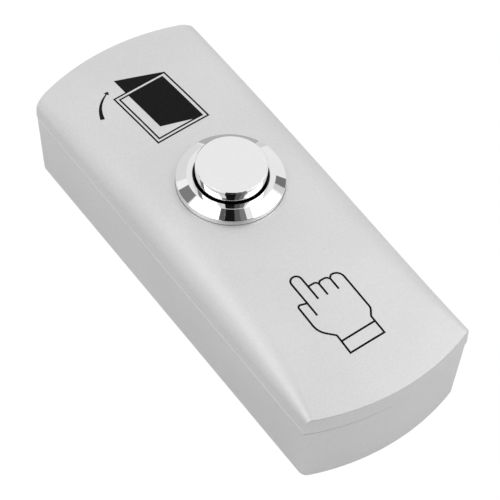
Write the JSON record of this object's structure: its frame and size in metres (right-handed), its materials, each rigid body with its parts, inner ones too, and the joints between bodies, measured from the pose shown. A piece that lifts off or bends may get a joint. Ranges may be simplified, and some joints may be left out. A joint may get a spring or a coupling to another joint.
{
  "type": "door release push button",
  "caption": "Surface-mounted door release push button: narrow domed metal housing with curved ends and a round chrome button that springs back when pressed.",
  "frame": {"origin": "middle of the flat back face that lies on the wall", "axes": "+Z out of the wall, along the button's axis; +Y along the length, towards the door pictogram and the upper end on the wall; +X to the right as the user faces the button"},
  "size_m": [0.032, 0.083, 0.0245],
  "materials": {
    "housing_satin": "satin silver over die-cast zinc alloy",
    "polished_chrome": "polished chrome plate, satin on the pressing face",
    "plated_steel": "bright zinc plate",
    "spring_steel": "drawn spring wire, oiled",
    "black_plastic": "moulded, matte",
    "black_rubber": "moulded, matte",
    "contact_brass": "turned and stamped, bright",
    "contact_silver": "silver alloy, bright"
  },
  "bodies": {
    "housing": {"back_box": "housing_satin", "front_cover": "housing_satin", "cover_screw": "plated_steel", "switch_barrel": "polished_chrome", "bezel_gasket": "black_rubber", "lock_washer": "plated_steel", "hex_nut": "plated_steel", "guide_insulator": "black_plastic", "terminal_block": "black_plastic", "snap_ring": "spring_steel", "fixed_contact_left": "contact_brass", "fixed_contact_right": "contact_brass", "wire_clamp_left": "plated_steel", "wire_clamp_right": "plated_steel", "terminal_screws": "plated_steel", "return_spring": "spring_steel"},
    "plunger": {"button_cap": "polished_chrome", "plunger_stem": "black_plastic", "contact_bridge": "contact_brass", "contact_tips": "contact_silver", "stem_washer": "plated_steel"}
  },
  "joints": [
    {"name": "button_press", "type": "slide", "parent": "housing", "child": "plunger", "axis": [0, 0, -1], "range_m": [0, 0.002], "stiffness_N_per_m": 500, "springref_m": -0.0012, "deforming": ["return_spring"]}
  ]
}
